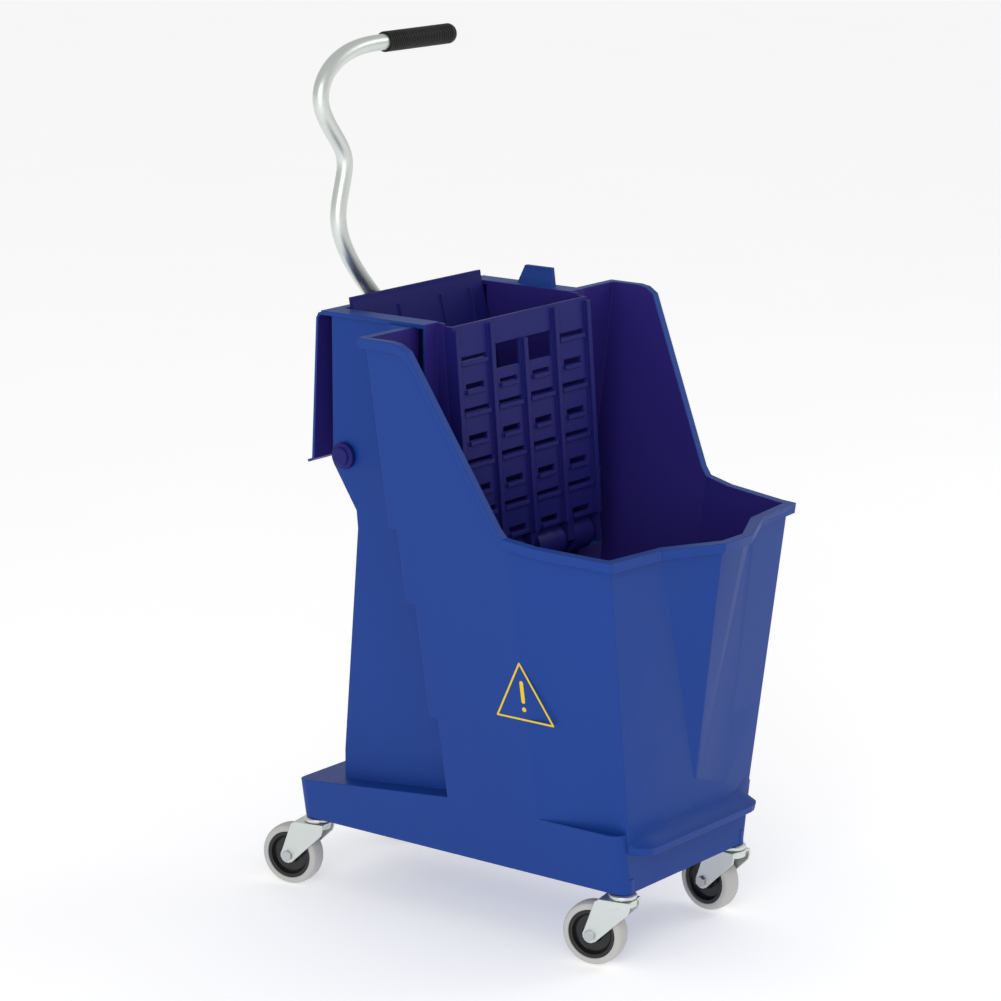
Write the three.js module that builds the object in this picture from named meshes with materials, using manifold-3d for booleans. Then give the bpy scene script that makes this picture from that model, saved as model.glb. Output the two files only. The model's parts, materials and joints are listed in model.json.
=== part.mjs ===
// Mop bucket with a built-in press wringer, on four swivel casters.
// Millimetres, +Z up, -Y is the pouring end, the origin is on the floor under
// the middle of the whole object. Standalone: needs only three and manifold-3d.
import * as THREE from 'three';
import { mergeVertices } from 'three/addons/utils/BufferGeometryUtils.js';
import Module from 'manifold-3d';

// ---------------------------------------------------------------- dimensions
// Tub. Heights are above the floor, depths run back from the front of the base.
const wall = 4;
const wheelRadius = 38.1;
const baseHeight = 2 * wheelRadius + 15.8;   // underside of the base, clear of the wheels
const floorTop = baseHeight + 20;            // inside floor of the tub
const baseHalfWidth = 126.7;    // base, half its width
const baseLength = 487;
const baseCorner = 14;
const sideDraft = 0.175;        // side walls lean out this much per mm of height
const noseHalfWidth = 121;      // front corners of the tub at the bumper
const noseDraft = 0.166;        // and how they lean out
const noseFront = { step: 2, lean: 0.0365 };   // depth of those corners, ahead of the base
const prow = { step: 8, lean: 0.045, halfWidth: 60, draft: 0.11 };   // bowed middle
const footInset = 5;            // the tub stands this far inside the base's corners
const bumperTop = 154;
const rimLow = 499;             // rim height at the nose
const slopeFoot = [115, 512];   // depth and height where the rim starts to climb
const wallTop = 727;            // top of the tall side walls
const slopeHead = [222, wallTop - 9];   // and where it levels out
const sideSteps = [             // rear edge of the wide side panels, by height
  { top: 266.5, depth: 248 },
  { top: 408, depth: 261 },
  { top: 498.5, depth: 274.7 },
  { top: wallTop, depth: 286.4 },
];
const wellHalfWidth = 150;      // narrow rear well that carries the wringer
const wellFootHalfWidth = 110;
const wellFootHeight = 183;
const wellKnee = 550;           // the well is straight above this height
const wellRear = 410;
const wellWaist = { top: 495, foot: 473, depth: 380 };
const wellFootRear = 430;
const platformFront = { depth: 247, height: 166 };
const platformRear = { depth: baseLength, height: 141 };
const lipReach = 7;             // rolled rim, how far it stands out
const lipDrop = 12;             // and how tall it is
const spoutHalfBase = 92;
const spoutHalfTip = 21;
const spoutReach = 36;
const spoutFoot = 204;

// Wringer
const gap = 0.4;                // between pieces that touch
const chuteHalfWidth = 126;     // inside of the chute
const chuteWall = 4;
const chuteFront = 246.5;       // front face of the fixed jaw at its top
const jawLean = 0.077;          // per mm of height: its foot stands nearer the nose
const jawReturn = 12;           // folded side edges of the fixed jaw
const flangeTop = wallTop + 4;
const flangeThickness = 5;
const flangeHalfWidth = 154;
const flangeFront = 268;
const skirtBottom = 546;
const skirtLean = 9;            // the skirt hangs this much further back at its foot
const hinge = { depth: 248, height: 440, pin: 6, knuckle: 22 };
const lugs = { places: [-73, 0, 73], halfWidth: 6, radius: 16, room: 26 };
const pivot = { depth: 391, height: 561, axle: 8, barrel: 14 };
const knob = { radius: 16, length: 7, capRadius: 11, capLength: 11 };
const runFit = 0.5;             // clearance round a turning shaft
const jaw = { thickness: 5, halfWidth: chuteHalfWidth - 4, topDepth: 404,
  topHeight: wallTop + 11 };
const knuckles = [[13, 64], [82, jaw.halfWidth - 1]];   // from the middle outwards, both sides
const slots = { top: wallTop - 37, pitch: 60, height: 5, windowDrop: 32, windowHeight: 7 };
const jawWindow = { foot: wallTop - 60, top: wallTop - 30 };  // large openings over the middle columns
const ledge = { height: 5, reach: 3 };      // each slot has a small ledge under it
const drains = { places: [-92, -31, 31, 92], halfWidth: 18, foot: 500, pitch: 44, rows: 5,
  height: 7 };

// Lever
const tubeRadius = 9.5;
const tubeWall = 1.6;
const tubeDepth = jaw.topDepth + 4.5 + tubeRadius;          // the whole lever is bent in one upright plane
const tubeFoot = 578;
const grip = { radius: tubeRadius + 2.7, from: -41, to: 86, height: 1035 };
const tubeEnd = 30;             // the tube stops inside the grip
const socket = { radius: tubeRadius + 3.5, bottom: 570, top: 638 };
const flangeRear = tubeDepth + socket.radius;   // the skirt hangs just behind the socket
const leverBolt = { radius: 3, heights: [592, 616], head: 4, headRadius: 5.5 };
const spring = { wire: 1.4, clearance: 4, turns: 5, start: 22, pitch: 4.2 };

// Casters
const wheelWidth = 24;
const hubRadius = 28.8;
const hubWidth = 22;
const trail = 34.7;
const casterX = 112;
const casterFront = 12;
const casterRear = 474;
const cupRadius = 16.5;
const cupHeight = 6.5;
const stemRadius = 6;
const forkHalfGap = 13.5;
const forkSheet = 2.5;
const axleRadius = 4;
const casters = [
  { name: 'front_right', x: -casterX, depth: casterFront, swivel: 11.7 },
  { name: 'front_left', x: casterX, depth: casterFront, swivel: -6.4 },
  { name: 'rear_right', x: -casterX, depth: casterRear, swivel: 11.1 },
  { name: 'rear_left', x: casterX, depth: casterRear, swivel: 4 },
];

const originDepth = 239.94;     // depth of the origin behind the front of the base

// ------------------------------------------------------------------- finishes
const finish = (color, roughness, metalness) => ({ color, roughness, metalness });
const blue = finish(0x2a4fa8, 0.42, 0);
const navy = finish(0x2b3a96, 0.45, 0);
const zinc = finish(0xd5d8da, 0.3, 0.9);
const steel = finish(0xb9bdc0, 0.28, 0.95);
const black = finish(0x141416, 0.6, 0);
const grey = finish(0xc6c6cb, 0.7, 0);

// -------------------------------------------------------------------- helpers
const wasm = await Module();
wasm.setup();

function solid(geometry) {
  const bare = geometry.clone();
  bare.deleteAttribute('normal');
  bare.deleteAttribute('uv');
  const merged = mergeVertices(bare, 1e-4);
  return new wasm.Manifold(new wasm.Mesh({
    numProp: 3,
    vertProperties: new Float32Array(merged.attributes.position.array),
    triVerts: new Uint32Array(merged.index.array),
  }));
}

const join = (list) => list.reduce((all, one) => all.add(one));
const cut = (from, list) => list.reduce((all, one) => all.subtract(one), from);

function box(x0, x1, y0, y1, z0, z1) {
  const shape = new THREE.BoxGeometry(x1 - x0, y1 - y0, z1 - z0);
  return solid(shape.translate((x0 + x1) / 2, (y0 + y1) / 2, (z0 + z1) / 2));
}

// A round bar between two points.
function rod(from, to, radius, sides = 20) {
  const start = new THREE.Vector3(...from);
  const line = new THREE.Vector3(...to).sub(start);
  const shape = new THREE.CylinderGeometry(radius, radius, line.length(), sides);
  shape.translate(0, line.length() / 2, 0);
  const up = new THREE.Vector3(0, 1, 0);
  const turn = new THREE.Quaternion().setFromUnitVectors(up, line.clone().normalize());
  return solid(shape.applyQuaternion(turn).translate(...from));
}

// A solid between outlines at rising heights, all with the same number of points.
function loft(levels) {
  const count = levels[0].points.length;
  const positions = levels.flatMap(({ z, points }) => points.flatMap(([x, y]) => [x, y, z]));
  const faces = [];
  for (let level = 0; level + 1 < levels.length; level += 1) {
    for (let i = 0; i < count; i += 1) {
      const j = (i + 1) % count;
      const [a, b] = [level * count + i, level * count + j];
      faces.push(a, b, b + count, a, b + count, a + count);
    }
  }
  const cap = (points) => THREE.ShapeUtils.triangulateShape(
    points.map(([x, y]) => new THREE.Vector2(x, y)), []);
  const top = (levels.length - 1) * count;
  cap(levels[0].points).forEach(([a, b, c]) => faces.push(a, c, b));
  cap(levels.at(-1).points).forEach(([a, b, c]) => faces.push(top + a, top + b, top + c));
  const shape = new THREE.BufferGeometry();
  shape.setAttribute('position', new THREE.Float32BufferAttribute(positions, 3));
  shape.setIndex(faces);
  return solid(shape);
}

// A slab with an outline in depth and height, running across from x0 to x1.
function slab(outline, x0, x1) {
  const shape = new THREE.Shape(outline.map(([y, z]) => new THREE.Vector2(y, z)));
  const block = new THREE.ExtrudeGeometry(shape, { depth: x1 - x0, bevelEnabled: false });
  const axes = new THREE.Matrix4().makeBasis(
    new THREE.Vector3(0, 1, 0), new THREE.Vector3(0, 0, 1), new THREE.Vector3(1, 0, 0));
  return solid(block.applyMatrix4(axes).translate(x0, 0, 0));
}

// A sheet of even thickness that follows a line in depth and height.
function sheet(line, thickness, x0, x1) {
  const side = (offset) => line.map(([y, z], i) => {
    const [before, after] = [line[Math.max(i - 1, 0)], line[Math.min(i + 1, line.length - 1)]];
    const along = new THREE.Vector2(after[0] - before[0], after[1] - before[1]).normalize();
    return [y - along.y * offset, z + along.x * offset];
  });
  return slab([...side(thickness / 2), ...side(-thickness / 2).reverse()], x0, x1);
}

// A closed turned shape standing on Z: the profile gives radius and height.
function turned(profile, segments = 32) {
  const points = profile.map(([radius, height]) => new THREE.Vector2(radius, height));
  const shape = new THREE.LatheGeometry([...points, points[0]], segments);
  return shape.rotateX(Math.PI / 2);
}

// The same, lying along X.
const turnedAcross = (profile, segments) => turned(profile, segments).rotateY(Math.PI / 2);

// A round section swept along a curve.
function swept(curve, radius, steps, sides) {
  const ring = new THREE.Shape();
  for (let i = 0; i < sides; i += 1) {
    const angle = (2 * Math.PI * i) / sides;
    const point = [radius * Math.cos(angle), radius * Math.sin(angle)];
    if (i === 0) ring.moveTo(...point);
    else ring.lineTo(...point);
  }
  ring.closePath();
  return solid(new THREE.ExtrudeGeometry(ring, {
    steps, extrudePath: curve, curveSegments: sides, bevelEnabled: false,
  }));
}

function toGeometry(manifold) {
  const { vertProperties, triVerts } = manifold.getMesh();
  const shape = new THREE.BufferGeometry();
  shape.setAttribute('position', new THREE.BufferAttribute(vertProperties, 3));
  shape.setIndex(new THREE.BufferAttribute(triVerts, 1));
  return shape;
}

const object = new THREE.Group();
object.position.y = -originDepth;

function part(name, shape, look, parent = object) {
  const material = new THREE.MeshStandardMaterial(look);
  const geometry = shape instanceof THREE.BufferGeometry ? shape : toGeometry(shape);
  geometry.computeVertexNormals();
  const mesh = new THREE.Mesh(geometry, material);
  mesh.name = name;
  parent.add(mesh);
  return mesh;
}

const mix = (a, b, t) => a + (b - a) * Math.min(Math.max(t, 0), 1);
const sides = [-1, 1];

// ------------------------------------------------------------------------ tub
const sideAt = (z) => baseHalfWidth + sideDraft * (z - baseHeight);
const underBumper = (z) => z < bumperTop - wall;
const noseAt = (z) => (underBumper(z) ? baseHalfWidth - footInset
  : noseHalfWidth + noseDraft * (z - bumperTop));
const cornerAt = (z) => (underBumper(z) ? footInset
  : -noseFront.step - noseFront.lean * (z - bumperTop));
const frontAt = (z) => (underBumper(z) ? footInset : -prow.step - prow.lean * (z - bumperTop));
const prowAt = (z) => prow.halfWidth + prow.draft * (z - bumperTop);
const wellAt = (z) => mix(wellFootHalfWidth, wellHalfWidth,
  (z - wellFootHeight) / (wellKnee - wellFootHeight));

function wellRearAt(z) {
  if (z >= wellWaist.top) {
    return mix(wellWaist.depth, wellRear, (z - wellWaist.top) / (wellKnee - wellWaist.top));
  }
  return mix(wellWaist.depth, wellFootRear,
    (wellWaist.foot - z) / (wellWaist.foot - wellFootHeight));
}

// Outline of the tub at one height, grown outwards by `grow` (negative: inwards).
function tubOutline(z, stepDepth, grow) {
  const half = [
    [prowAt(z), frontAt(z) - grow],
    [noseAt(z) + grow, cornerAt(z) - grow],
    [sideAt(z) + grow, slopeFoot[0]],
    [sideAt(z) + grow, stepDepth + grow],
    [wellAt(z) + grow, stepDepth + grow],
    [wellAt(z) + grow, wellRearAt(z) + grow],
  ];
  return [...half, ...half.map(([x, y]) => [-x, y]).reverse()];
}

// The whole tub as one filled shape from `bottom` to `top`.
function tubShape(bottom, top, grow, stepShift) {
  const blocks = [];
  let from = bottom;
  for (const { top: stepTop, depth } of sideSteps) {
    const to = Math.min(stepTop === wallTop ? top : stepTop + stepShift, top);
    const breaks = [bumperTop - wall - 0.01, bumperTop - wall, wellFootHeight,
      wellWaist.foot, wellWaist.top, wellKnee];
    const heights = [from, ...breaks.filter((z) => z > from && z < to), to];
    blocks.push(loft(heights.map((z) => ({ z, points: tubOutline(z, depth, grow) }))));
    from = to;
  }
  return join(blocks);
}

function spoutShape(grow, top) {
  const outline = (z) => {
    const t = (z - spoutFoot) / (rimLow - spoutFoot);
    const root = frontAt(z) + wall + 2 - grow;
    const tip = frontAt(z) - spoutReach * Math.max(t, 0.02) - grow;
    const base = Math.max(spoutHalfBase * t + 3 + grow, 1);
    const end = Math.max(spoutHalfTip * t + 1.5 + grow * 0.6, 0.5);
    return [[-base, root], [-base, root - 2 - wall], [-end, tip], [end, tip],
      [base, root - 2 - wall], [base, root]];
  };
  return loft([spoutFoot, top].map((z) => ({ z, points: outline(z) })));
}

function roundedRectangle(halfWidth, front, rear, radius) {
  const points = [];
  const corners = [[halfWidth, front, -90], [halfWidth, rear, 0],
    [-halfWidth, rear, 90], [-halfWidth, front, 180]];
  for (const [x, y, start] of corners) {
    for (let i = 0; i <= 4; i += 1) {
      const angle = THREE.MathUtils.degToRad(start + i * 22.5);
      points.push([x - Math.sign(x) * radius + radius * Math.cos(angle),
        y + (y === front ? radius : -radius) + radius * Math.sin(angle)]);
    }
  }
  return points;
}

// Everything under a line drawn from front to rear in depth and height.
function below(line, drop = 0) {
  const outline = line.map(([y, z]) => [y, z - drop]);
  return slab([[-200, 0], [700, 0], [700, outline.at(-1)[1]], ...outline.reverse(),
    [-200, outline.at(-1)[1]]], -400, 400);
}

function bucketBody() {
  const baseBlock = (grow, top) => loft([baseHeight, top].map((z) => ({
    z, points: roundedRectangle(sideAt(z) + grow, -grow, baseLength + grow, baseCorner + grow),
  })));
  const platformLine = [[platformFront.depth, platformFront.height],
    [platformRear.depth, platformRear.height]];
  const base = baseBlock(0, platformFront.height).intersect(below([[-100, 400],
    [platformFront.depth - 0.1, 400], ...platformLine]));
  const rimLine = [[-150, rimLow], [0, rimLow + 2], [80, slopeFoot[1] - 6], slopeFoot,
    [slopeFoot[0] + 8, slopeFoot[1] + 10], slopeHead, [slopeHead[0] + 12, wallTop - 2],
    [slopeHead[0] + 24, wallTop], [600, wallTop]];
  const shell = join([tubShape(bumperTop - wall, wallTop + 1, 0, 0), spoutShape(0, wallTop),
    tubShape(baseHeight + 2, bumperTop, 0, 0)]);
  const hollow = tubShape(floorTop, wallTop + 20, -wall, wall)
    .add(spoutShape(-wall, wallTop + 20));
  const lipBand = tubShape(rimLow - 40, wallTop + 1, lipReach, 0)
    .add(spoutShape(lipReach, wallTop))
    .subtract(below(rimLine, lipDrop))
    .subtract(box(-wellHalfWidth - 40, wellHalfWidth + 40, 320, 600, 400, 900));
  const bumper = loft([
    [bumperTop - 13, -2], [bumperTop - 4, 0], [bumperTop + 12, -24],
  ].map(([z, grow]) => ({
    z, points: roundedRectangle(baseHalfWidth - 6 + grow / 3, -27 - grow, 60, 25),
  })));
  const skin = join([base, shell, lipBand, bumper]).intersect(below(rimLine));
  const underside = baseBlock(-wall, platformFront.height)
    .intersect(below([[-100, floorTop - wall], [platformFront.depth + wall, floorTop - wall],
      [platformFront.depth + wall + 1, platformFront.height - wall],
      [platformRear.depth, platformRear.height - wall]]))
    .subtract(tubShape(floorTop - wall, bumperTop + 40, 0, 0));
  const opening = box(-chuteHalfWidth, chuteHalfWidth, wellRear - 20, wellRear + 20,
    skirtBottom + 90, 900);
  const leverSlot = box(-20, 20, wellRear - 20, wellRear + 20, pivot.height - 25, 900);
  const wellTop = box(-flangeHalfWidth - gap, flangeHalfWidth + gap, flangeFront - gap, 600,
    flangeTop - flangeThickness - gap, 900);
  const axleHole = rod([-200, pivot.depth, pivot.height], [200, pivot.depth, pivot.height],
    pivot.axle + runFit);
  const bosses = casters.map(({ x, depth }) =>
    rod([x, depth, baseHeight - 1], [x, depth, floorTop - wall + 1], baseCorner - 1));
  const stemHoles = casters.map(({ x, depth }) =>
    rod([x, depth, 0], [x, depth, floorTop - wall - 3], stemRadius + gap));
  const hollowed = cut(skin, [hollow, underside, opening, leverSlot, wellTop, axleHole]);
  return cut(join([hollowed, ...bosses]), stemHoles);
}

part('bucket_body', bucketBody(), blue);

// -------------------------------------------------------------- wringer frame
const jawFrontAt = (z) => chuteFront - jawLean * (wallTop - z);

function wringerFrame() {
  const [under, over] = [flangeTop - flangeThickness, flangeTop];
  const flange = box(-flangeHalfWidth, flangeHalfWidth, flangeFront, flangeRear - 8, under, over);
  const foot = flangeRear + skirtLean;
  const skirtLine = [[flangeRear - 12, over - 2.5], [flangeRear - 5, over - 4],
    [flangeRear - 2, over - 9], [foot - 2, skirtBottom + 6], [foot + 6, skirtBottom + 2]];
  const skirt = sheet(skirtLine, 3.2, -flangeHalfWidth, flangeHalfWidth);
  const cheeks = sides.map((side) => {
    const [inner, outer] = [chuteHalfWidth, chuteHalfWidth + chuteWall];
    const [x0, x1] = side < 0 ? [-outer, -inner] : [inner, outer];
    const foot = hinge.height - 12;
    return slab([[jawFrontAt(over) + jawReturn, over - 1], [jawFrontAt(foot) + jawReturn, foot],
      [hinge.depth + 20, hinge.height - 24], [336, 470], [366, 516],
      [wellRear - 14, pivot.height], [wellRear - 14, over - 1]], x0, x1);
  });
  const brows = sides.map((side) => {
    const [x0, x1] = [side * (chuteHalfWidth + 1), side * (flangeHalfWidth - 1)].sort((a, b) => a - b);
    return box(x0, x1, flangeFront, flangeFront + 3, under - 150, under + 1);
  });
  const tab = loft([
    { z: over - 1, points: [[138, 306], [148, 306], [148, 358], [138, 358]] },
    { z: over + 22, points: [[142, 309], [148, 309], [148, 349], [142, 349]] },
  ]);
  const mouth = box(-chuteHalfWidth, chuteHalfWidth, 0, wellRear + gap, 0, 900);
  const leverMouth = box(-98, 22, wellRear - 20, tubeDepth + tubeRadius + 1.2, 600, 900);
  const axleHole = rod([-200, pivot.depth, pivot.height], [200, pivot.depth, pivot.height],
    pivot.axle + runFit);
  const pinHole = rod([-200, hinge.depth, hinge.height], [200, hinge.depth, hinge.height],
    hinge.pin + gap);
  return cut(join([flange, skirt, ...cheeks, ...brows, tab]),
    [mouth, leverMouth, axleHole, pinHole]);
}

part('wringer_frame', wringerFrame(), blue);

// ------------------------------------------------------------------ fixed jaw
const grilleHalf = chuteHalfWidth - 3;
const columns = [[-grilleHalf, -66], [-58, -4], [4, 58], [66, grilleHalf]];
const ribs = { places: [-grilleHalf - 3.5, -62, 0, 62, grilleHalf + 3.5], halfWidth: 3.5, reach: 5 };

// A leaning strip of the fixed jaw, between two depths counted from its front face.
function jawStrip([x0, x1], [foot, top], [from, to]) {
  return slab([[jawFrontAt(foot) + from, foot], [jawFrontAt(foot) + to, foot],
    [jawFrontAt(top) + to, top], [jawFrontAt(top) + from, top]], x0, x1);
}

function fixedJaw() {
  const foot = hinge.height + hinge.knuckle + 3;
  const half = chuteHalfWidth + chuteWall;
  const plate = jawStrip([-half, half], [foot, wallTop], [0, chuteWall]);
  const returns = sides.map((side) => jawStrip(
    [side * chuteHalfWidth, side * half].sort((a, b) => a - b),
    [hinge.height - 12, wallTop], [0, jawReturn - gap]));
  const uprights = ribs.places.map((x) => jawStrip([x - ribs.halfWidth, x + ribs.halfWidth],
    [foot, x === 0 ? jawWindow.top : wallTop - 4], [-ribs.reach, chuteWall]));
  const ears = lugs.places.map((x) => {
    const across = [x - lugs.halfWidth, x + lugs.halfWidth];
    return join([
      rod([across[0], hinge.depth, hinge.height], [across[1], hinge.depth, hinge.height],
        lugs.radius),
      jawStrip(across, [hinge.height, foot + 4], [0, jawReturn])]);
  });
  const ledges = [];
  const cuts = [];
  const slotRoom = slots.windowDrop + slots.windowHeight + ledge.height;
  const slotAt = (x0, x1, top, height) => {
    const front = jawFrontAt(top);
    cuts.push(box(x0, x1, front - jawReturn, front + jawReturn, top - height, top));
    ledges.push(jawStrip([x0, x1], [top - height - ledge.height, top - height],
      [-ledge.reach, 1]));
  };
  for (const [x0, x1] of columns) {
    const middle = Math.abs(x0 + x1) < chuteHalfWidth;
    const inset = (x1 - x0) * 0.2;
    if (middle) {
      const front = jawFrontAt(jawWindow.top);
      cuts.push(box(x0 + 2, x1 - 3, front - jawReturn, front + jawReturn,
        jawWindow.foot, jawWindow.top));
    }
    for (let top = slots.top; top - slotRoom > foot; top -= slots.pitch) {
      if (middle && top === slots.top) {
        slotAt(x0 + inset, x1 - inset, jawWindow.foot - 12, slots.height);
      } else {
        slotAt(x0 + 4, x1 - 4, top, slots.height);
        slotAt(x0 + inset, x1 - inset, top - slots.windowDrop, slots.windowHeight);
      }
    }
  }
  const pinHole = rod([-200, hinge.depth, hinge.height], [200, hinge.depth, hinge.height],
    hinge.pin + gap);
  return cut(join([plate, ...returns, ...uprights, ...ears, ...ledges]), [...cuts, pinHole]);
}

part('fixed_jaw', fixedJaw(), navy);

// ----------------------------------------------------------------- moving jaw
const jawFoot = [358, 548];
const jawLine = [[jaw.topDepth + 1, jaw.topHeight + 6], [jaw.topDepth, jaw.topHeight],
  [jawFoot[0] + 2, jawFoot[1] + 10], [350, 515], [334, 482], [311, 452], [282, 430],
  [254, 422]];

function movingJaw() {
  const plate = sheet(jawLine, jaw.thickness, -jaw.halfWidth, jaw.halfWidth);
  const barrels = knuckles.flatMap(([x0, x1]) => sides.map((side) => {
    const [from, to] = [side * x0, side * x1];
    return rod([from, hinge.depth, hinge.height], [to, hinge.depth, hinge.height],
      hinge.knuckle, 28);
  }));
  const lugRoom = lugs.places.map((x) => rod([x - lugs.halfWidth - 3, hinge.depth, hinge.height],
    [x + lugs.halfWidth + 3, hinge.depth, hinge.height], lugs.room));
  const reach = jawLine.slice(1, 3);
  const stiffeners = [-96, -40, 40, 96].map((x) => sheet(
    reach.map(([y, z]) => [y - 5, z - 12]), 6, x - 2.5, x + 2.5));
  const drainCuts = drains.places.flatMap((x) => Array.from({ length: drains.rows }, (_, row) => {
    const z = drains.foot + row * drains.pitch;
    return box(x - drains.halfWidth, x + drains.halfWidth, 300, 420, z, z + drains.height);
  }));
  const pinHole = rod([-200, hinge.depth, hinge.height], [200, hinge.depth, hinge.height],
    hinge.pin + runFit);
  return cut(join([cut(plate, lugRoom), ...barrels, ...stiffeners]), [...drainCuts, pinHole]);
}

part('moving_jaw', movingJaw(), navy);

const hingePinEnd = chuteHalfWidth + chuteWall + 4;
part('jaw_hinge_pin', rod([-hingePinEnd, hinge.depth, hinge.height],
  [hingePinEnd, hinge.depth, hinge.height], hinge.pin), steel);
for (const side of sides) {
  const inner = chuteHalfWidth + chuteWall + gap;
  part(`hinge_pin_clip_${side < 0 ? 'right' : 'left'}`, cut(
    rod([side * inner, hinge.depth, hinge.height],
      [side * (inner + 3), hinge.depth, hinge.height], 10),
    [rod([side * (inner - 1), hinge.depth, hinge.height],
      [side * (inner + 4), hinge.depth, hinge.height], hinge.pin + gap)]), steel);
}

// -------------------------------------------------------- lever and its pivot
const axleEnd = wellHalfWidth + 8;
part('pivot_axle', rod([-axleEnd, pivot.depth, pivot.height],
  [axleEnd, pivot.depth, pivot.height], pivot.axle), steel);
for (const side of sides) {
  const inner = side * (wellHalfWidth + gap);
  const across = (from, to, radius, segments) => rod([from, pivot.depth, pivot.height],
    [to, pivot.depth, pivot.height], radius, segments);
  const shape = cut(join([
    across(inner, inner + side * knob.length, knob.radius, 32),
    across(inner + side * (knob.length - 1), inner + side * knob.capLength, knob.capRadius, 32)]),
  [across(0, side * (axleEnd + gap), pivot.axle + gap)]);
  part(`axle_knob_${side < 0 ? 'right' : 'left'}`, shape, navy);
}

const leverBoltHoles = () => leverBolt.heights.map((z) =>
  rod([-30, tubeDepth, z], [30, tubeDepth, z], leverBolt.radius + gap, 16));

function leverSocket() {
  const barrel = rod([-15, pivot.depth, pivot.height], [15, pivot.depth, pivot.height],
    pivot.barrel);
  const sleeve = rod([0, tubeDepth, socket.bottom], [0, tubeDepth, socket.top], socket.radius);
  const web = slab([[pivot.depth - 6, pivot.height - 10], [pivot.depth + 12, pivot.height - 12],
    [tubeDepth, socket.bottom], [tubeDepth, socket.top - 6],
    [pivot.depth - 4, pivot.height + 12]], -6, 6);
  return cut(join([barrel, sleeve, web]), [
    rod([-20, pivot.depth, pivot.height], [20, pivot.depth, pivot.height], pivot.axle + gap),
    rod([0, tubeDepth, socket.bottom + 4], [0, tubeDepth, socket.top + 5],
      tubeRadius + gap, 32),
    ...leverBoltHoles()]);
}

part('lever_socket', leverSocket(), zinc);

// Lever centre line in X and Z, from the socket up to the grip.
const leverBends = [[0, tubeFoot], [0, 600], [0, 622], [0, 642], [-5, 667], [-23, 695],
  [-66, 740], [-98, 774], [-119, 808], [-127, 836], [-124, 860], [-117, 884], [-114, 904],
  [-123, 923], [-142, 947], [-155, 970], [-153, 992], [-138, 1011], [-112, 1027], [-80, 1033.6],
  [-50, 1035], [-30, 1035], [0, 1035], [tubeEnd, 1035]];
const leverCurve = new THREE.CatmullRomCurve3(leverBends.map(([x, z]) =>
  new THREE.Vector3(x, tubeDepth, z)), false, 'centripetal');

function leverTube() {
  const outside = swept(leverCurve, tubeRadius, 52, 12);
  const inside = swept(leverCurve, tubeRadius - tubeWall, 52, 8);
  const foot = rod([0, tubeDepth, tubeFoot - 5], [0, tubeDepth, tubeFoot + 5],
    tubeRadius - tubeWall, 16);
  return cut(outside, [inside, foot, ...leverBoltHoles()]);
}

part('lever_tube', leverTube(), zinc);
leverBolt.heights.forEach((z, index) => {
  const number = index + 1;
  const reach = socket.radius + gap;
  const across = (from, to, radius, segments) => rod([from, tubeDepth, z], [to, tubeDepth, z],
    radius, segments);
  part(`lever_bolt_${number}`, join([
    across(-reach - leverBolt.head, -reach, leverBolt.headRadius, 6),
    across(-reach - 1, reach + leverBolt.head + 1, leverBolt.radius, 16)]), steel);
  part(`lever_nut_${number}`, cut(
    across(reach, reach + leverBolt.head, leverBolt.headRadius, 6),
    [across(reach - 1, reach + leverBolt.head + 2, leverBolt.radius + gap, 16)]), steel);
});

function leverGrip() {
  const ring = 1.1;
  const profile = [[tubeRadius + gap, grip.from]];
  const bands = 4;
  for (let i = 0; i < bands; i += 1) {
    const x = grip.from + i * 4;
    profile.push([grip.radius, x], [grip.radius, x + 2.4]);
    profile.push([grip.radius - ring, x + 2.4], [grip.radius - ring, x + 4]);
  }
  for (let i = bands; i >= 1; i -= 1) {
    const x = grip.to - 6 - i * 4;
    profile.push([grip.radius - ring, x], [grip.radius - ring, x + 1.6]);
    profile.push([grip.radius, x + 1.6], [grip.radius, x + 4]);
  }
  profile.push([grip.radius, grip.to - 5], [grip.radius - 3, grip.to - 1], [0, grip.to],
    [0, tubeEnd + gap], [tubeRadius + gap, tubeEnd + gap]);
  return solid(turnedAcross(profile, 24)).translate([0, tubeDepth, grip.height]);
}

part('lever_grip', leverGrip(), black);

// Torsion springs on the axle, either side of the socket, push the lever upright.
function torsionSpring(side) {
  const radius = pivot.axle + spring.clearance;
  const steps = spring.turns * 12;
  const points = [];
  for (let i = 0; i <= steps; i += 1) {
    const angle = (2 * Math.PI * i) / 12 - Math.PI / 2;
    points.push(new THREE.Vector3(side * (spring.start + (i / 12) * spring.pitch),
      pivot.depth + radius * Math.cos(angle), pivot.height + radius * Math.sin(angle)));
  }
  return swept(new THREE.CatmullRomCurve3(points), spring.wire, steps, 5);
}

for (const side of sides) {
  part(`lever_spring_${side < 0 ? 'right' : 'left'}`, torsionSpring(side), steel);
}

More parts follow.
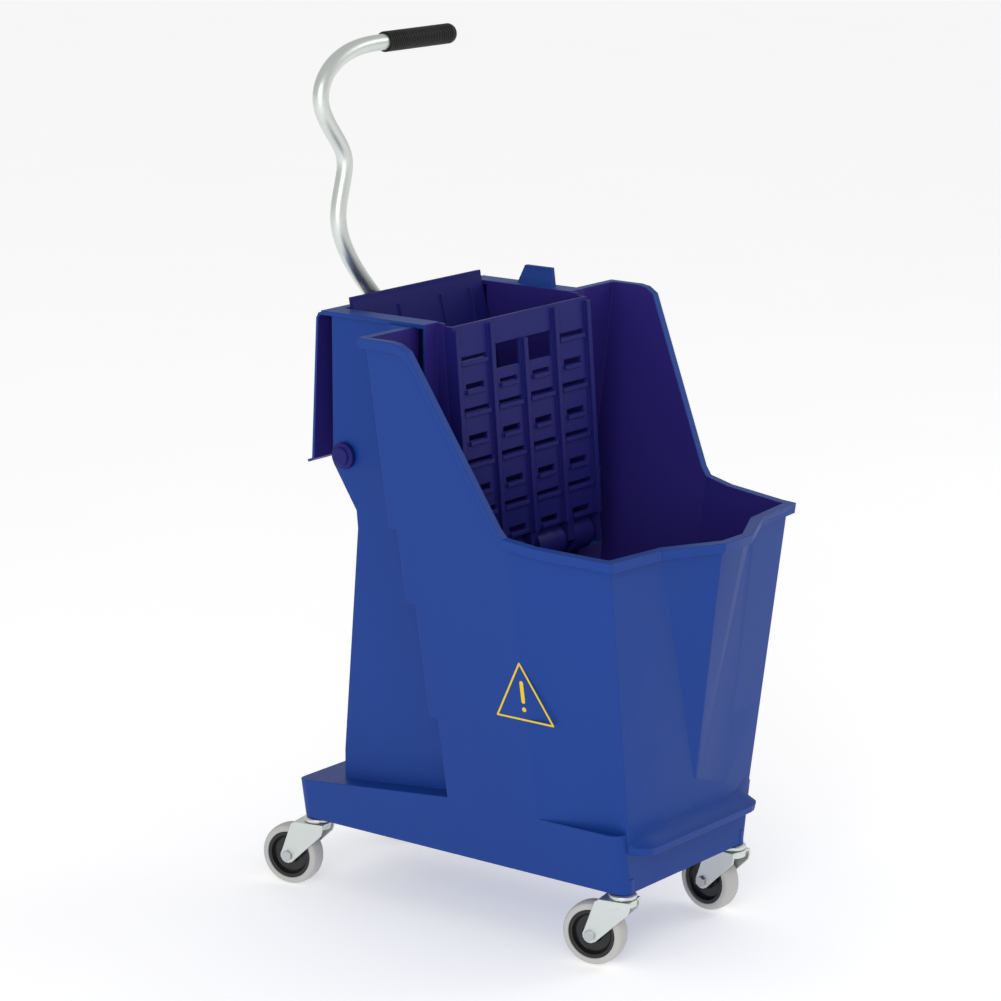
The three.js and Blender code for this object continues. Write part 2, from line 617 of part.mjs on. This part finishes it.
// -------------------------------------------------------------------- casters
// Each caster is built facing -Y: its wheel trails along +Y behind the stem.
function casterFork() {
  const top = baseHeight - 1 - gap - cupHeight - gap;
  const crown = rod([0, 0, top - 8], [0, 0, top], cupRadius, 20);
  const half = forkHalfGap + forkSheet;
  const blade = (x0, x1) => {
    const outline = [[-15, top - 8], [-13, top - 14], [trail - 6, wheelRadius - 8]];
    for (let i = 0; i <= 6; i += 1) {
      const angle = THREE.MathUtils.degToRad(-130 + i * 28);
      outline.push([trail + 9.5 * Math.cos(angle), wheelRadius + 9.5 * Math.sin(angle)]);
    }
    outline.push([29, top - 3], [22, top], [-15, top]);
    return slab(outline, x0, x1);
  };
  const bridge = box(-half, half, -15, 25, top - forkSheet, top);
  const plate = join([bridge, crown, blade(-half, -forkHalfGap), blade(forkHalfGap, half)]);
  const wheelRoom = rod([-forkHalfGap, trail, wheelRadius], [forkHalfGap, trail, wheelRadius],
    wheelRadius + 3, 28);
  return cut(plate, [wheelRoom,
    rod([-40, trail, wheelRadius], [40, trail, wheelRadius], axleRadius + gap, 16),
    rod([0, 0, top - 20], [0, 0, top + 5], stemRadius + runFit),
    rod([0, 0, top - 20], [0, 0, top - forkSheet], stemRadius + 4)]);
}

const cupBottom = baseHeight - 1 - gap - cupHeight;

function casterCup() {
  return solid(turned([[stemRadius + gap, cupBottom], [cupRadius - 1.5, cupBottom],
    [cupRadius, cupBottom + 2], [cupRadius, cupBottom + cupHeight - 1.5],
    [cupRadius - 3, cupBottom + cupHeight], [stemRadius + gap, cupBottom + cupHeight]], 20));
}

function casterStem() {
  const [foot, head] = [cupBottom - gap - forkSheet - 3, floorTop - wall - 4];
  return join([rod([0, 0, foot + 2], [0, 0, head], stemRadius),
    rod([0, 0, foot], [0, 0, foot + 2.4], stemRadius + 3)]);
}

function casterHub() {
  const [half, web] = [hubWidth / 2, 3.5];
  const across = turnedAcross([[axleRadius + gap, -half], [9, -half], [10, -web],
    [hubRadius - 6, -web], [hubRadius - 4, -half], [hubRadius, -half], [hubRadius, half],
    [hubRadius - 4, half], [hubRadius - 6, web], [10, web], [9, half],
    [axleRadius + gap, half]], 24);
  return solid(across).translate([0, trail, wheelRadius]);
}

function casterTyre() {
  const half = wheelWidth / 2;
  const inner = hubRadius + gap;
  const profile = [[inner, -half + 1], [inner + 1, -half], [wheelRadius - 4, -half],
    [wheelRadius - 1.2, -half + 3], [wheelRadius, -half + 8], [wheelRadius, half - 8],
    [wheelRadius - 1.2, half - 3], [wheelRadius - 4, half], [inner + 1, half],
    [inner, half - 1]];
  return solid(turnedAcross(profile, 36)).translate([0, trail, wheelRadius]);
}

for (const { name, x, depth, swivel } of casters) {
  const caster = new THREE.Group();
  caster.position.set(x, depth, 0);
  caster.rotation.z = THREE.MathUtils.degToRad(swivel);
  object.add(caster);
  const forkSide = forkHalfGap + forkSheet + gap;
  const bolt = join([
    rod([-forkSide - 3, trail, wheelRadius], [-forkSide, trail, wheelRadius], 7, 6),
    rod([-forkSide - 1, trail, wheelRadius], [forkSide + 5, trail, wheelRadius],
      axleRadius, 16)]);
  const nut = cut(
    rod([forkSide, trail, wheelRadius], [forkSide + 4, trail, wheelRadius], 7, 6),
    [rod([forkSide - 1, trail, wheelRadius], [forkSide + 6, trail, wheelRadius],
      axleRadius + gap, 16)]);
  part(`caster_${name}_stem`, casterStem(), steel, caster);
  part(`caster_${name}_cup`, casterCup(), zinc, caster);
  part(`caster_${name}_fork`, casterFork(), zinc, caster);
  part(`caster_${name}_axle`, bolt, steel, caster);
  part(`caster_${name}_nut`, nut, steel, caster);
  part(`caster_${name}_hub`, casterHub(), black, caster);
  part(`caster_${name}_tyre`, casterTyre(), grey, caster);
}

export default object;
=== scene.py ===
"""Mop bucket with a built-in press wringer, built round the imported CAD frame."""
import json
import math

import bmesh
import bpy
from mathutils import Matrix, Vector
from mathutils.bvhtree import BVHTree

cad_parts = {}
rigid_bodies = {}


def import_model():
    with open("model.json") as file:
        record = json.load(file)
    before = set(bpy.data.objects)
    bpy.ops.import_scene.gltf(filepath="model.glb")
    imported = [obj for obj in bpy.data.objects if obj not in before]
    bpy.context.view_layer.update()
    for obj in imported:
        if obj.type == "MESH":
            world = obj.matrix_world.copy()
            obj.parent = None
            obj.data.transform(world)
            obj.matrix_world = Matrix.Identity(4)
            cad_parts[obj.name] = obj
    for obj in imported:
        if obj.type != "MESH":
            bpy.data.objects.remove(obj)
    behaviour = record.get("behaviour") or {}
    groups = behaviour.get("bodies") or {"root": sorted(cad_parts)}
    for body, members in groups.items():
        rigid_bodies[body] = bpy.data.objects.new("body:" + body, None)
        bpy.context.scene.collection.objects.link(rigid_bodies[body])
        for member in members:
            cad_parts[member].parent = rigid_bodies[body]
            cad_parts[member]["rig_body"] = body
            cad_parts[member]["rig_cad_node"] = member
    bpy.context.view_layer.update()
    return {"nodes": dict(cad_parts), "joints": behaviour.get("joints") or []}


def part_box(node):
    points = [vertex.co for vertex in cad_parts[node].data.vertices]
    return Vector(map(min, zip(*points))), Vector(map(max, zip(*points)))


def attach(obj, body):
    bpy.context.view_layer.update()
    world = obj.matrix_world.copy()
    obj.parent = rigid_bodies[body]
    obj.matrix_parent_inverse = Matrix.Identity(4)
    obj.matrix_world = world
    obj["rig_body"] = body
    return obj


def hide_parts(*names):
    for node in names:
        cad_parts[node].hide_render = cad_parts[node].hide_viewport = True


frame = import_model()


# ------------------------------------------------------------------------- tub
# One rotationally moulded polyethylene tub about 4 mm thick, blue right
# through: wide at the pouring end, with a narrow well behind for the wringer
# and a wheel base with a bumper shelf. Its edges are rounded by the mould.
mould_edge = 0.0016          # radius that the finish gives to moulded edges
floor_top = 0.112            # inside floor of the tub


class Value:
    """A socket that adds its Math nodes when it is used in an expression."""

    def __init__(self, tree, socket):
        self.tree = tree
        self.socket = socket

    def math(self, operation, first, second):
        node = self.tree.nodes.new("ShaderNodeMath")
        node.operation = operation
        for place, value in zip(node.inputs, (first, second)):
            if isinstance(value, Value):
                self.tree.links.new(value.socket, place)
            else:
                place.default_value = value
        return Value(self.tree, node.outputs[0])

    def __add__(self, other):
        return self.math("ADD", self, other)

    __radd__ = __add__

    def __sub__(self, other):
        return self.math("SUBTRACT", self, other)

    def __rsub__(self, other):
        return self.math("SUBTRACT", other, self)

    def __mul__(self, other):
        return self.math("MULTIPLY", self, other)

    __rmul__ = __mul__

    def clamped(self):
        return self.math("MINIMUM", self.math("MAXIMUM", self, 0.0), 1.0)


class Finish:
    """A material with one Principled shader; node() adds any other node."""

    def __init__(self, name, **settings):
        self.material = bpy.data.materials.new(name)
        self.material.use_nodes = True
        self.tree = self.material.node_tree
        self.shader = self.tree.nodes["Principled BSDF"]
        for socket, value in settings.items():
            self.shader.inputs[socket.replace("_", " ")].default_value = value
        self.place = self.node("ShaderNodeTexCoord", output="Object")

    def node(self, kind, settings=None, inputs=None, output=0):
        node = self.tree.nodes.new(kind)
        for name, value in (settings or {}).items():
            if name == "ramp":
                for end, (position, shade) in zip(node.color_ramp.elements, value):
                    end.position = position
                    end.color = (shade, shade, shade, 1)
            else:
                setattr(node, name, value)
        for name, value in (inputs or {}).items():
            self.feed(node.inputs[name], value)
        return Value(self.tree, node.outputs[output])

    def feed(self, socket, value):
        if isinstance(value, Value):
            self.tree.links.new(value.socket, socket)
        else:
            socket.default_value = value

    def set(self, socket, value):
        self.feed(self.shader.inputs[socket], value)

    def noise(self, scale, detail=2.0, stretch=(1.0, 1.0, 1.0)):
        where = self.node("ShaderNodeMapping", None,
                          {"Vector": self.place, "Scale": stretch})
        return self.node("ShaderNodeTexNoise", None,
                         {"Vector": where, "Scale": scale, "Detail": detail})

    def ramp(self, value, start, end):
        return self.node("ShaderNodeValToRGB", {"ramp": [(start, 0.0), (end, 1.0)]},
                         {"Fac": value})

    def blend(self, share, one, other):
        return self.node("ShaderNodeMix", {"data_type": "RGBA"},
                         {0: share, 6: (*one, 1), 7: (*other, 1)}, output=2)

    def bump(self, height, strength, distance):
        self.set("Normal", self.node("ShaderNodeBump", None, {
            "Height": height, "Strength": strength, "Distance": distance}))


def moulded(name, color, shade, roughness, specular=0.3):
    """Moulded plastic: soft edges, fine grain, flow marks, scuffs near the floor."""
    finish = Finish(name, Specular_IOR_Level=specular)
    flow = finish.noise(5.0, 3.0, (1.0, 1.0, 0.35))
    finish.set("Base Color", finish.blend(flow, color, shade))
    height = finish.node("ShaderNodeSeparateXYZ", None, {"Vector": finish.place}, output=2)
    scuff = finish.ramp(finish.noise(60.0, 5.0, (1.0, 1.0, 0.2)), 0.55, 0.72)
    low = (1.0 - height * 5.0).clamped()
    finish.set("Roughness", roughness + flow * 0.08 + scuff * low * 0.12)
    edges = finish.node("ShaderNodeBevel", {"samples": 6}, {"Radius": mould_edge})
    finish.set("Normal", finish.node("ShaderNodeBump", None, {
        "Height": finish.noise(1400.0), "Strength": 0.12, "Distance": 0.0004,
        "Normal": edges}))
    return finish.material


blue_plastic = moulded("blue_plastic", (0.006, 0.042, 0.245), (0.008, 0.048, 0.270), 0.42, 0.18)
# A darker, more violet copy of the blue: painted shade for the walls deep inside the tub and
# the well.
inside_painted_shade = moulded("inside_painted_shade", (0.022, 0.014, 0.160), (0.026, 0.018, 0.185), 0.45, 0.15)


def chosen(*objects):
    """Leaves only these objects selected, the first of them active."""
    bpy.ops.object.select_all(action="DESELECT")
    for thing in objects:
        thing.select_set(True)
    bpy.context.view_layer.objects.active = objects[0]


def copied(node, name):
    """A copy of a CAD piece, merged and shaded smooth; its finish rounds the edges."""
    piece = frame["nodes"][node].copy()
    piece.data = piece.data.copy()
    piece.name = name
    piece.parent = None
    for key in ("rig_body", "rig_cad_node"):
        del piece[key]
    bpy.context.scene.collection.objects.link(piece)
    chosen(piece)
    bpy.ops.object.mode_set(mode="EDIT")
    bpy.ops.mesh.select_all(action="SELECT")
    bpy.ops.mesh.remove_doubles(threshold=0.00002)
    bpy.ops.mesh.dissolve_limited(angle_limit=math.radians(0.03))
    bpy.ops.object.mode_set(mode="OBJECT")
    bpy.ops.object.shade_smooth_by_angle(angle=math.radians(14))
    return piece


def softened(node, name, radius, cuts=2):
    """A copy of a small CAD piece with its sharp edges rounded. A corner that
    can't take the rounding is put back on the CAD piece's own surface."""
    piece = copied(node, name)
    surface = bmesh.new()
    surface.from_mesh(piece.data)
    true_surface = BVHTree.FromBMesh(surface)
    surface.free()
    rounding = piece.modifiers.new("rounding", "BEVEL")
    rounding.width = radius
    rounding.segments = cuts
    rounding.limit_method = "ANGLE"
    rounding.angle_limit = math.radians(25)
    rounding.use_clamp_overlap = False
    bpy.ops.object.modifier_apply(modifier=rounding.name)
    for vert in piece.data.vertices:
        nearest, _, _, distance = true_surface.find_nearest(vert.co)
        if distance > radius * 0.6:
            vert.co = nearest
    bpy.ops.object.shade_smooth_by_angle(angle=math.radians(38))
    even = piece.modifiers.new("even", "WEIGHTED_NORMAL")
    even.keep_sharp = True
    bpy.ops.object.modifier_apply(modifier=even.name)
    return piece


def fitted(piece, body, slot, finish, *nodes):
    """Gives a finished piece its material and fixes it to its body."""
    piece.data.materials.clear()
    piece.data.materials.append(finish)
    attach(piece, body)
    if nodes:
        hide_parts(*nodes)


tub = copied("bucket_body", "tub")
fitted(tub, "tub", "blue_plastic", blue_plastic, "bucket_body")
tub.data.materials.append(inside_painted_shade)
# It is one plastic; the walls that face into the tub get a darker, more violet
# # blue, painted shade for the deep insides.
for face in tub.data.polygons:
    place, facing = face.center, face.normal
    side_wall = place.x * facing.x < -0.02 * abs(place.x)
    end_wall = place.y * facing.y < -0.3 * abs(place.y)
    if place.z > floor_top and (side_wall or end_wall) and abs(facing.z) < 0.9:
        face.material_index = 1

# ----------------------------------------------------------------- safety sign
# A plain warning triangle in yellow ink, a generic mark, on the side panel. It
# lies in one flat leaning plane. The panel narrows towards the nose, so the
# mark stands up to about 6 mm off it instead of lying on it.
base_length = 0.487
base_half_width = 0.1267
base_height = 0.092
base_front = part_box("bucket_body")[1].y - base_length
panel_tilt = 0.175           # the panel's plane leans out this much per metre
stroke = 0.0022
ink_film = 0.0006
yellow_ink = Finish("yellow_ink", Roughness=0.5, Specular_IOR_Level=0.2)
yellow_ink.set("Base Color", yellow_ink.blend(
    yellow_ink.noise(300.0), (0.72, 0.52, 0.012), (0.80, 0.58, 0.02)))
yellow_ink.bump(yellow_ink.noise(1200.0), 0.1, 0.0002)


def combined(first, *others):
    """Adds the others to the first piece."""
    for other in others:
        step = first.modifiers.new("step", "BOOLEAN")
        step.operation = "UNION"
        step.solver = "EXACT"
        step.object = other
        chosen(first)
        bpy.ops.object.modifier_apply(modifier=step.name)
        bpy.data.objects.remove(other)
    return first


def ink_line(start, end, radius, film):
    """A flat line with round ends, lying in the depth-height plane."""
    discs = []
    for depth, height in (start, end):
        bpy.ops.mesh.primitive_cylinder_add(
            vertices=32, radius=radius, depth=film, location=(0, depth, height),
            rotation=(0, math.pi / 2, 0))
        discs.append(bpy.context.object)
    chosen(*discs)
    bpy.ops.object.join()
    plate = bpy.context.object
    bpy.ops.object.transform_apply(location=True, rotation=True, scale=True)
    bpy.ops.object.mode_set(mode="EDIT")
    bpy.ops.mesh.select_all(action="SELECT")
    bpy.ops.mesh.convex_hull()
    bpy.ops.object.mode_set(mode="OBJECT")
    return plate


sign_middle = 0.116          # depth of the triangle's middle, from the base's front
sign_half = 0.040
sign_foot, sign_top = 0.290, 0.360
corners = [(sign_middle - sign_half, sign_foot), (sign_middle + sign_half, sign_foot),
           (sign_middle, sign_top)]
borders = []
for side in range(3):
    film = ink_film * (1 + 0.07 * side)      # no two films share a face in the union
    borders.append(ink_line(corners[side], corners[(side + 1) % 3], stroke / 2, film))
bar_foot, bar_top, bar_radius = 0.313, 0.336, 0.0025
dot_height, dot_radius = 0.3030, 0.0028
marks = [
    combined(borders[0], *borders[1:]),
    ink_line((sign_middle, bar_foot), (sign_middle, bar_top), bar_radius, ink_film),
    ink_line((sign_middle, dot_height), (sign_middle, dot_height + 0.0001),
             dot_radius, ink_film)]
chosen(*marks)
bpy.ops.object.join()
sign = bpy.context.object
sign.name = "safety_sign"
bpy.ops.object.mode_set(mode="EDIT")
shape = bmesh.from_edit_mesh(sign.data)
middle = sum(vert.co.x for vert in shape.verts) / len(shape.verts)
for vert in shape.verts:
    vert.co.x -= middle + base_half_width + panel_tilt * (vert.co.z - base_height)
    vert.co.y += base_front
bmesh.update_edit_mesh(sign.data)
bpy.ops.object.mode_set(mode="OBJECT")
fitted(sign, "tub", "blue_plastic", yellow_ink.material)

# --------------------------------------------------------------- wringer frame
# The blue frame drops into the tub's well: a flange round the top, a skirt that
# hangs behind and two cheeks beside the jaws, all one injection moulding.
well_half_width = 0.150
flange_under = 0.725         # just below the flange
wringer = copied("wringer_frame", "wringer_frame_shell")
fitted(wringer, "tub", "blue_plastic", blue_plastic, "wringer_frame")
wringer.data.materials.append(inside_painted_shade)
# The well's inner faces below the flange get the darker copy: painted shade.
for face in wringer.data.polygons:
    place, facing = face.center, face.normal
    outer = abs(place.x) > well_half_width and facing.x * place.x > 0
    if place.z < flange_under and not outer and facing.y < 0.5:
        face.material_index = 1

# ------------------------------------------------------------------------ jaws
# Two polypropylene jaws squeeze the mop, given the tub's blue darkened as
# # painted shade. The front one is a fixed grille; the rear one is a curved plate
# # that turns on a steel pin at the foot, which two spring clips hold.
# A darker copy of the tub's blue: painted shade for the jaws and the axle knobs.
navy_plastic = moulded("navy_plastic", (0.012, 0.012, 0.135), (0.014, 0.015, 0.155), 0.42, 0.15)
grille = copied("fixed_jaw", "fixed_jaw_grille")
fitted(grille, "tub", "navy_plastic", navy_plastic, "fixed_jaw")
press_plate = copied("moving_jaw", "press_plate")
fitted(press_plate, "jaw", "navy_plastic", navy_plastic, "moving_jaw")


def metal(name, color, roughness, stretch):
    """Plated or bright steel: faint drawing marks and a cloudy tone."""
    finish = Finish(name, Metallic=1.0)
    streaks = finish.noise(90.0, 4.0, stretch)
    finish.set("Base Color", finish.blend(
        finish.noise(14.0, 3.0), color, tuple(c * 0.88 for c in color)))
    finish.set("Roughness", roughness + streaks * 0.12)
    finish.bump(streaks, 0.06, 0.0003)
    return finish.material


bright_steel = metal("bright_steel", (0.58, 0.59, 0.61), 0.28, (0.2, 1.0, 1.0))
for name in ("jaw_hinge_pin", "hinge_pin_clip_right", "hinge_pin_clip_left"):
    fitted(softened(name, f"{name}_turned", 0.0004), "tub", "bright_steel", bright_steel, name)

# --------------------------------------------------------------- lever and axle
# A bent 19 mm steel tube, zinc plated, is bolted in a socket on a steel axle.
# Leaning on its grip pushes the rear jaw forward; two coil springs lift it.
zinc_plate = metal("zinc_plate", (0.72, 0.76, 0.73), 0.34, (1.0, 1.0, 0.25))


def turned(name, rings, sides, centre):
    """A solid turned about X: a filled circle extruded ring by ring. A ring is a
    place along the axis and a radius; the first and the last are closed."""
    bpy.ops.object.select_all(action="DESELECT")
    bpy.ops.mesh.primitive_circle_add(vertices=sides, radius=rings[0][1], fill_type="NGON")
    piece = bpy.context.object
    piece.name = name
    bpy.ops.object.mode_set(mode="EDIT")
    bpy.ops.transform.translate(value=(0, 0, rings[0][0]))
    for (place, radius), (next_place, next_radius) in zip(rings, rings[1:]):
        bpy.ops.mesh.extrude_region_move(
            TRANSFORM_OT_translate={"value": (0, 0, next_place - place)})
        grow = next_radius / radius
        bpy.ops.transform.resize(value=(grow, grow, 1), center_override=(0, 0, next_place))
    bpy.ops.mesh.select_all(action="SELECT")
    bpy.ops.mesh.normals_make_consistent(inside=False)
    bpy.ops.object.mode_set(mode="OBJECT")
    piece.rotation_euler = (0, math.pi / 2, 0)
    piece.location = centre
    bpy.ops.object.transform_apply(location=True, rotation=True)
    bpy.ops.object.shade_smooth_by_angle(angle=math.radians(38))
    return piece


def bar(name, centre_line, radius, roundness):
    """A round bar bent along a centre line."""
    curve = bpy.data.curves.new(name, "CURVE")
    curve.dimensions = "3D"
    curve.bevel_depth = radius
    curve.bevel_resolution = roundness
    curve.resolution_u = 8
    curve.use_fill_caps = True
    spline = curve.splines.new("NURBS")
    spline.points.add(len(centre_line) - 1)
    for point, place in zip(spline.points, centre_line):
        point.co = (*place, 1)
    spline.use_endpoint_u = True
    spline.order_u = 4
    piece = bpy.data.objects.new(name, curve)
    bpy.context.scene.collection.objects.link(piece)
    chosen(piece)
    bpy.ops.object.convert(target="MESH")
    bpy.ops.object.shade_smooth_by_angle(angle=math.radians(38))
    return piece


tube_low, tube_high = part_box("lever_tube")
lever_y = (tube_low.y + tube_high.y) / 2
tube_radius = 0.0095
lever_bends = [
    (0, 0.578), (0, 0.600), (0, 0.622), (0, 0.642), (-0.004, 0.667), (-0.023, 0.695),
    (-0.066, 0.740), (-0.099, 0.774), (-0.121, 0.808), (-0.129, 0.836), (-0.124, 0.860),
    (-0.116, 0.884), (-0.112, 0.904), (-0.122, 0.923), (-0.143, 0.947), (-0.157, 0.970),
    (-0.156, 0.992), (-0.141, 1.013), (-0.113, 1.028), (-0.080, 1.0345), (-0.050, 1.035),
    (-0.030, 1.035), (0.0, 1.035), (0.030, 1.035)]
tube = bar("lever_tube_bent", [(x, lever_y, z) for x, z in lever_bends], tube_radius, 12)
fitted(tube, "lever", "zinc_plate", zinc_plate, "lever_tube")
fitted(softened("lever_socket", "lever_socket_cast", 0.0008), "lever", "zinc_plate",
       zinc_plate, "lever_socket")
fitted(softened("pivot_axle", "pivot_axle_turned", 0.0006), "lever", "bright_steel",
       bright_steel, "pivot_axle")
# The knobs take the darkened blue too: painted shade.
for side in ("right", "left"):
    name = f"axle_knob_{side}"
    fitted(softened(name, f"{name}_cap", 0.0016, 3), "lever", "navy_plastic",
           navy_plastic, name)
for number in (1, 2):
    for part in ("bolt", "nut"):
        name = f"lever_{part}_{number}"
        fitted(softened(name, f"{name}_hex", 0.0004), "lever", "bright_steel",
               bright_steel, name)
coil_radius, coil_turns, turn_steps = 0.012, 5, 12
wire_radius = 0.0014
for side in ("right", "left"):
    low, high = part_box(f"lever_spring_{side}")
    centre = (low + high) / 2
    length = high.x - low.x - 2 * wire_radius
    turn_points = []
    for step in range(coil_turns * turn_steps + 1):
        angle = 2 * math.pi * step / turn_steps - math.pi / 2
        share = step / (coil_turns * turn_steps)
        turn_points.append((low.x + wire_radius + share * length,
                            centre.y + coil_radius * math.cos(angle),
                            centre.z + coil_radius * math.sin(angle)))
    spring = bar(f"lever_spring_{side}_coil", turn_points, wire_radius, 3)
    fitted(spring, "tub", "bright_steel", bright_steel, f"lever_spring_{side}")

# ------------------------------------------------------------------------ grip
# A black vinyl sleeve pushed over the tube's end: rings at both ends and a
# grooved middle, closed at the tip.
black_grip = moulded("black_grip", (0.005, 0.005, 0.005), (0.008, 0.008, 0.007), 0.42, 0.2)
grip_low, grip_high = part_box("lever_grip")
grip_radius = (grip_high.z - grip_low.z) / 2
grip_length = grip_high.x - grip_low.x
rings = [(0.0, 0.0098), (0.0003, grip_radius - 0.001), (0.0010, grip_radius)]
inner_rings, outer_rings, plain_tip = 0.030, 0.034, 0.012   # how far each stretch runs
place = 0.0034
while place < grip_length - plain_tip:
    ringed = place < inner_rings or place > grip_length - outer_rings
    depth = 0.0013 if ringed else 0.0005
    rings += [(place, grip_radius), (place + 0.0004, grip_radius - depth),
              (place + 0.0012, grip_radius - depth), (place + 0.0016, grip_radius)]
    place += 0.0040 if ringed else 0.0052
rings += [(grip_length - 0.006, grip_radius), (grip_length - 0.003, grip_radius - 0.0012),
          (grip_length - 0.001, grip_radius - 0.0035), (grip_length, grip_radius - 0.0075)]
grip_sleeve = turned("grip_sleeve", rings, 56,
                     (grip_low.x, lever_y, (grip_low.z + grip_high.z) / 2))
fitted(grip_sleeve, "lever", "black_grip", black_grip, "lever_grip")

# --------------------------------------------------------------------- casters
# Four 76 mm swivel casters: a pressed zinc fork turns under a ball race on a
# riveted stem, and a bolt carries a black wheel centre with a grey tread.
black_plastic = moulded("black_plastic", (0.006, 0.006, 0.007), (0.010, 0.010, 0.011), 0.2, 0.5)
grey_tyre = moulded("grey_tyre", (0.47, 0.465, 0.45), (0.53, 0.525, 0.51), 0.55)
wheel_radius = 0.0381
hub_radius = 0.0288
tread = [(0.0118, hub_radius + 0.0006), (0.0122, hub_radius + 0.0016), (0.0120, 0.0340),
         (0.0106, 0.0362), (0.0080, 0.0374), (0.0040, 0.0380), (0.0, wheel_radius)]
tread += [(-x, radius) for x, radius in reversed(tread[:-1])]


def ring_of(name, profile, sides):
    """A ring spun about X from a closed profile of places and radii."""
    bpy.ops.object.select_all(action="DESELECT")
    bpy.ops.mesh.primitive_circle_add(vertices=len(profile), radius=0.001)
    piece = bpy.context.object
    piece.name = name
    bpy.ops.object.mode_set(mode="EDIT")
    shape = bmesh.from_edit_mesh(piece.data)
    for vert, (x, radius) in zip(list(shape.verts), profile):
        vert.co = (x, 0, radius)
    bmesh.update_edit_mesh(piece.data)
    bpy.ops.mesh.select_all(action="SELECT")
    bpy.ops.mesh.spin(steps=sides, angle=2 * math.pi, center=(0, 0, 0), axis=(1, 0, 0))
    bpy.ops.mesh.select_all(action="SELECT")
    bpy.ops.mesh.remove_doubles(threshold=0.00001)
    bpy.ops.mesh.normals_make_consistent(inside=False)
    bpy.ops.object.mode_set(mode="OBJECT")
    bpy.ops.object.shade_smooth_by_angle(angle=math.radians(32))
    return piece


tyre_first = ring_of("tyre_first", tread, 72)
hub_face = [(0.0110, hub_radius), (0.0112, hub_radius - 0.0012), (0.0108, 0.0250),
            (0.0062, 0.0232), (0.0046, 0.0215), (0.0042, 0.0120), (0.0060, 0.0108),
            (0.0104, 0.0100), (0.0110, 0.0088), (0.0110, 0.0045)]
hub_first = ring_of("hub_first", hub_face + [(-x, r) for x, r in reversed(hub_face)], 64)
for corner in ("front_right", "front_left", "rear_right", "rear_left"):
    joint = next(j for j in frame["joints"] if j["name"] == f"spin_{corner}")
    turn = math.atan2(joint["axis"][1], joint["axis"][0])
    for kind, first, slot, finish in (("tyre", tyre_first, "grey_tyre", grey_tyre),
                                      ("hub", hub_first, "black_plastic", black_plastic)):
        piece = first.copy()
        piece.data = first.data.copy()
        piece.name = f"{kind}_{corner}"
        bpy.context.scene.collection.objects.link(piece)
        piece.rotation_euler = (0, 0, turn)
        piece.location = joint["pos_m"]
        chosen(piece)
        bpy.ops.object.transform_apply(location=True, rotation=True)
        fitted(piece, f"wheel_{corner}", slot, finish, f"caster_{corner}_{kind}")
    fitted(softened(f"caster_{corner}_fork", f"fork_{corner}", 0.0006), f"fork_{corner}",
           "zinc_plate", zinc_plate, f"caster_{corner}_fork")
    for kind in ("axle", "nut"):
        fitted(softened(f"caster_{corner}_{kind}", f"{kind}_{corner}", 0.0005),
               f"fork_{corner}", "bright_steel", bright_steel, f"caster_{corner}_{kind}")
    fitted(softened(f"caster_{corner}_cup", f"race_{corner}", 0.0006), "tub",
           "zinc_plate", zinc_plate, f"caster_{corner}_cup")
    fitted(softened(f"caster_{corner}_stem", f"stem_{corner}", 0.0005), "tub",
           "bright_steel", bright_steel, f"caster_{corner}_stem")
for first in (tyre_first, hub_first):
    bpy.data.objects.remove(first)

# ------------------------------------------------------------ floor and lights
# A plain pale floor under a white studio, with a large soft light on the sign's
# side and a weaker one ahead on the other side.
bpy.ops.object.select_all(action="DESELECT")
bpy.ops.mesh.primitive_plane_add(size=60, location=(0, 0, 0))
floor = bpy.context.object
floor.name = "floor"
pale = Finish("floor_paint", Roughness=0.9, Specular_IOR_Level=0.1,
              Emission_Color=(1, 1, 1, 1), Emission_Strength=0.36)
pale.set("Base Color", pale.blend(pale.noise(3.0), (0.90, 0.90, 0.90), (0.92, 0.92, 0.92)))
floor.data.materials.append(pale.material)

world = bpy.data.worlds.new("studio")
world.use_nodes = True
sky = world.node_tree
paper = sky.nodes["Background"]
paper.inputs["Color"].default_value = (1, 1, 1, 1)
seen = sky.nodes.new("ShaderNodeLightPath")
level = sky.nodes.new("ShaderNodeMapRange")
sky.links.new(seen.outputs["Is Camera Ray"], level.inputs["Value"])
level.inputs["To Min"].default_value = 0.62
level.inputs["To Max"].default_value = 1.0
sky.links.new(level.outputs["Result"], paper.inputs["Strength"])
bpy.context.scene.world = world
bpy.context.scene.view_settings.view_transform = "Standard"


def soft_box(name, place, aim, size, power):
    """A square soft light that points at a place."""
    light = bpy.data.lights.new(name, "AREA")
    light.shape = "RECTANGLE"
    light.size, light.size_y = size
    light.energy = power
    lamp = bpy.data.objects.new(name, light)
    lamp.location = place
    lamp.rotation_euler = (Vector(aim) - Vector(place)).to_track_quat("-Z", "Y").to_euler()
    bpy.context.scene.collection.objects.link(lamp)


soft_box("side_light", (-3.2, -1.6, 1.6), (0, 0, 0.4), (2.0, 2.0), 42)
soft_box("front_light", (2.4, -1.6, 2.4), (0, 0, 0.3), (1.2, 1.2), 12)

# ---------------------------------------------------------------------- camera
eye = bpy.data.cameras.new("camera")
eye.sensor_width = 36
eye.lens = 129.9
camera = bpy.data.objects.new("camera", eye)
camera.location = (-3.3165, -2.5273, 1.4852)
camera.rotation_euler = (math.radians(90 - 13.29), 0, math.radians(-52.29))
bpy.context.scene.collection.objects.link(camera)
bpy.context.scene.camera = camera
